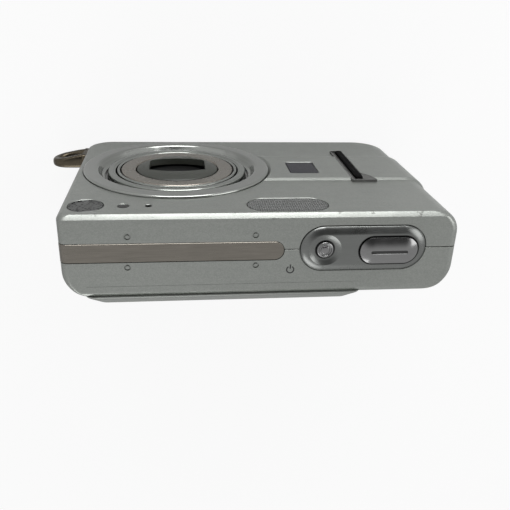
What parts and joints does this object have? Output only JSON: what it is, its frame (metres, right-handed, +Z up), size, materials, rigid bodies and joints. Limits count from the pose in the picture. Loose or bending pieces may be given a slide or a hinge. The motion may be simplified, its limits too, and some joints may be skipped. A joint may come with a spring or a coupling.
{
  "type": "compact digital camera",
  "caption": "Slim silver pocket camera with a telescoping zoom lens, shutter blades, top controls, rear screen and a battery door in the base.",
  "frame": {"origin": "middle of the base face, at half the body's width and half its depth", "axes": "+Z up with the camera standing on its base, -Y the way the lens looks, +X from the grip to the lens side"},
  "size_m": [0.0986, 0.0225, 0.0622],
  "materials": {
    "silver_paint": "satin metallic silver paint",
    "stainless": "polished stainless steel",
    "dark_chrome": "dark satin chrome",
    "barrel_metal": "anodised aluminium",
    "black_plastic": "black moulded plastic",
    "dark_gloss": "dark gloss plastic",
    "grip_rubber": "soft rubber",
    "clear_glass": "clear",
    "tinted_glass": "dark tinted window",
    "circuit_board": "green solder mask",
    "grey_plastic": "grey moulded plastic",
    "nickel": "nickel plate",
    "speaker_mesh": "fine steel mesh",
    "battery_wrap": "dark wrap"
  },
  "bodies": {
    "camera_body": {"front_cover": "silver_paint", "rear_cover": "silver_paint", "lens_bezel_ring": "barrel_metal", "lens_base": "black_plastic", "image_sensor": "tinted_glass", "sensor_board": "circuit_board", "zoom_motor": "nickel", "chassis_plate": "nickel", "main_board": "circuit_board", "key_board": "circuit_board", "switch_board": "circuit_board", "battery": "battery_wrap", "battery_box": "black_plastic", "card_slot": "nickel", "memory_card": "black_plastic", "flash_window": "clear_glass", "flash_reflector": "nickel", "flash_tube": "clear_glass", "flash_capacitor": "black_plastic", "front_window": "tinted_glass", "speaker_grille": "speaker_mesh", "speaker": "black_plastic", "lamp_window": "tinted_glass", "microphone": "nickel", "grip_insert": "grip_rubber", "grip_trim": "dark_chrome", "top_panel": "dark_chrome", "trim_band": "stainless", "strap_loop": "stainless", "screen_window": "tinted_glass", "screen_panel": "black_plastic", "door_hinge_pin": "nickel", "dock_connector": "black_plastic", "tripod_bush": "nickel", "case_screw_lens_side": "nickel", "case_screw_grip_side": "nickel"},
    "cam_ring": {"lens_cam_ring": "grey_plastic"},
    "barrel_outer": {"lens_barrel_outer": "barrel_metal"},
    "barrel_inner": {"lens_barrel_inner": "barrel_metal", "lens_name_ring": "stainless", "lens_window_ring": "dark_gloss", "barrier_plate": "black_plastic", "front_lens_cell": "black_plastic", "front_lens": "clear_glass", "rear_lens_cell": "black_plastic", "rear_lens": "clear_glass"},
    "blade_upper": {"barrier_blade_upper": "dark_gloss"},
    "blade_lower": {"barrier_blade_lower": "dark_gloss"},
    "power_key": {"power_button": "nickel"},
    "shutter_key": {"shutter_button": "dark_chrome"},
    "zoom_key": {"zoom_rocker": "nickel"},
    "record_key": {"record_button": "nickel"},
    "play_key": {"play_button": "nickel"},
    "menu_key": {"menu_button": "nickel"},
    "display_key": {"display_button": "nickel"},
    "set_key": {"set_button": "nickel"},
    "pad_gimbal": {"pad_pivot": "grey_plastic"},
    "pad": {"four_way_pad": "nickel"},
    "door": {"battery_door": "silver_paint"},
    "latch": {"battery_latch": "grey_plastic"}
  },
  "joints": [
    {"name": "lens_extend", "type": "slide", "parent": "camera_body", "child": "barrel_outer", "axis": [0, -1, 0], "range_m": [0, 0.009]},
    {"name": "inner_barrel_extend", "type": "slide", "parent": "barrel_outer", "child": "barrel_inner", "axis": [0, -1, 0], "range_m": [0, 0.008]},
    {"name": "cam_ring_turn", "type": "hinge", "parent": "camera_body", "child": "cam_ring", "pos_m": [0.01887, -0.00985, 0.02666], "axis": [0, -1, 0], "range_deg": [0, 60]},
    {"name": "barrier_open", "type": "slide", "parent": "barrel_inner", "child": "blade_upper", "axis": [0, 0, 1], "range_m": [0, 0.0051]},
    {"name": "lower_blade_open", "type": "slide", "parent": "barrel_inner", "child": "blade_lower", "axis": [0, 0, -1], "range_m": [0, 0.0051]},
    {"name": "power_press", "type": "slide", "parent": "camera_body", "child": "power_key", "axis": [0, 0, -1], "range_m": [0, 0.0005], "stiffness_N_per_m": 600},
    {"name": "shutter_press", "type": "slide", "parent": "camera_body", "child": "shutter_key", "axis": [0, 0, -1], "range_m": [0, 0.0007], "stiffness_N_per_m": 500},
    {"name": "zoom_rock", "type": "hinge", "parent": "camera_body", "child": "zoom_key", "pos_m": [-0.03185, 0.00765, 0.0515], "axis": [0, 0, 1], "range_deg": [-3, 3], "stiffness_Nm_per_rad": 0.06},
    {"name": "record_press", "type": "slide", "parent": "camera_body", "child": "record_key", "axis": [0, -1, 0], "range_m": [0, 0.0005], "stiffness_N_per_m": 600},
    {"name": "play_press", "type": "slide", "parent": "camera_body", "child": "play_key", "axis": [0, -1, 0], "range_m": [0, 0.0005], "stiffness_N_per_m": 600},
    {"name": "menu_press", "type": "slide", "parent": "camera_body", "child": "menu_key", "axis": [0, -1, 0], "range_m": [0, 0.0005], "stiffness_N_per_m": 600},
    {"name": "display_press", "type": "slide", "parent": "camera_body", "child": "display_key", "axis": [0, -1, 0], "range_m": [0, 0.0005], "stiffness_N_per_m": 600},
    {"name": "set_press", "type": "slide", "parent": "camera_body", "child": "set_key", "axis": [0, -1, 0], "range_m": [0, 0.0003], "stiffness_N_per_m": 600},
    {"name": "pad_tilt_up_down", "type": "hinge", "parent": "camera_body", "child": "pad_gimbal", "pos_m": [-0.03185, 0.00725, 0.0285], "axis": [1, 0, 0], "range_deg": [-2.5, 2.5], "stiffness_Nm_per_rad": 0.05},
    {"name": "pad_tilt_left_right", "type": "hinge", "parent": "pad_gimbal", "child": "pad", "pos_m": [-0.03185, 0.00725, 0.0285], "axis": [0, 0, 1], "range_deg": [-2.5, 2.5], "stiffness_Nm_per_rad": 0.05},
    {"name": "battery_door_open", "type": "hinge", "parent": "camera_body", "child": "door", "pos_m": [-0.0382, 0.0036, 0.001], "axis": [1, 0, 0], "range_deg": [0, 85]},
    {"name": "latch_slide", "type": "slide", "parent": "door", "child": "latch", "axis": [0, 1, 0], "range_m": [0, 0.0015]}
  ],
  "couplings": [
    {"joint": "inner_barrel_extend", "follows": "lens_extend", "ratio": 0.88888},
    {"joint": "cam_ring_turn", "follows": "lens_extend", "rad_per_m": 116.3},
    {"joint": "lower_blade_open", "follows": "barrier_open", "ratio": 1}
  ]
}
